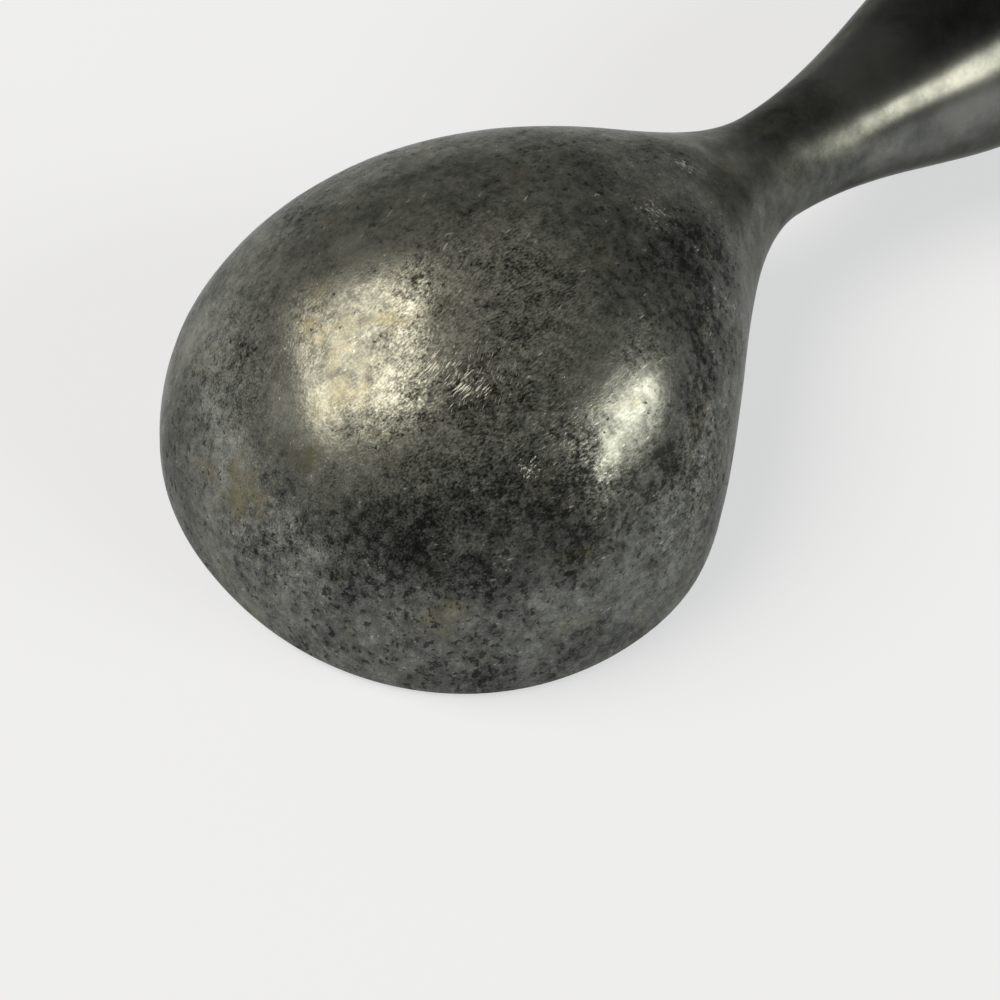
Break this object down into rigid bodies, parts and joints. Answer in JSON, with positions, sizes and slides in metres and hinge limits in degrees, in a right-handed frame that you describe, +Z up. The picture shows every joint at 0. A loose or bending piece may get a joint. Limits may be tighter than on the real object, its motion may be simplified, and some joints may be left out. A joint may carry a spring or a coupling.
{
  "type": "ice cream scoop",
  "caption": "One-piece cast aluminium ice cream scoop with a round bowl, a narrow neck and a hollow liquid-filled handle closed by a sealed end plug.",
  "frame": {"origin": "on the table, under the middle of the scoop's length, with the scoop lying mouth down on its rim and the swell of its handle", "axes": "+X along the handle from the bowl to the plug, +Z up through the back of the bowl, the rim lies in the XY plane"},
  "size_m": [0.1856, 0.062, 0.031],
  "materials": {
    "cast_aluminium": "tarnished grey casting with fine pits, stains and scratches, worn smoother on the handle",
    "turned_aluminium": "turned satin, dulled by use",
    "seal_rubber": "matt black",
    "heat_fluid": "clear pale amber liquid"
  },
  "bodies": {
    "root": {"scoop_casting": "cast_aluminium", "end_plug": "turned_aluminium", "plug_seal": "seal_rubber", "heat_fluid": "heat_fluid"}
  },
  "joints": []
}
